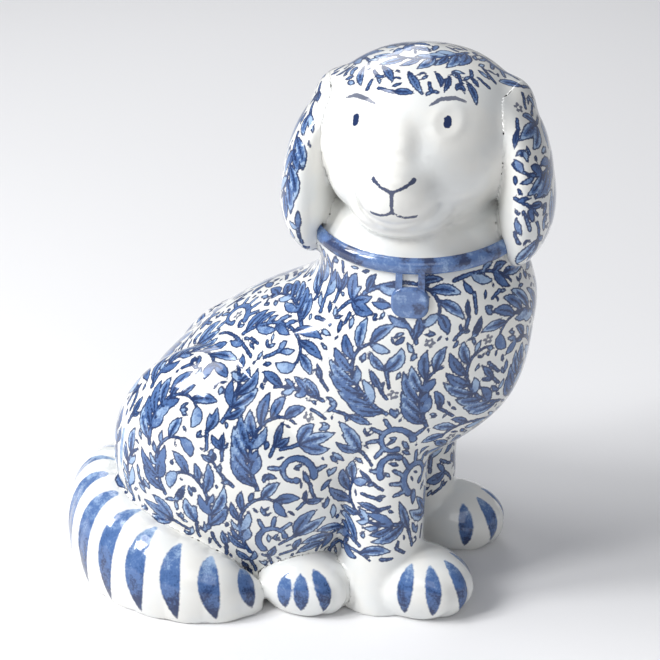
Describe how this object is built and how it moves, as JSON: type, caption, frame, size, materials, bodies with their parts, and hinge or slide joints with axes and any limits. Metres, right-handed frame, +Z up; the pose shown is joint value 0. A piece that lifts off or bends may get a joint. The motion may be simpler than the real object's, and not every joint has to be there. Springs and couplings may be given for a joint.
{
  "type": "dog figurine",
  "caption": "Seated glazed ceramic spaniel figurine, head turned to one side, with long drooping ears, a collar with a tag, and a tail wrapped round its haunch.",
  "frame": {"origin": "middle of the figure's footprint box, on the surface it stands on", "axes": "+X the way the breast points, +Y the dog's left, away from the face, +Z up"},
  "size_m": [0.1894, 0.1243, 0.2125],
  "materials": {
    "decorated_glaze": "white clear-glazed earthenware with cobalt foliage painted under the glaze",
    "blue_glaze": "cobalt wash under clear gloss glaze",
    "biscuit": "unglazed fired clay"
  },
  "bodies": {
    "root": {"body_casting": "decorated_glaze", "base_disc": "biscuit", "head_casting": "decorated_glaze", "ear_right": "decorated_glaze", "ear_left": "decorated_glaze", "front_leg_right": "decorated_glaze", "front_leg_left": "decorated_glaze", "hind_paw_right": "decorated_glaze", "hind_paw_left": "decorated_glaze", "tail": "decorated_glaze", "collar": "blue_glaze", "tag_straps": "blue_glaze", "tag": "blue_glaze"}
  },
  "joints": []
}
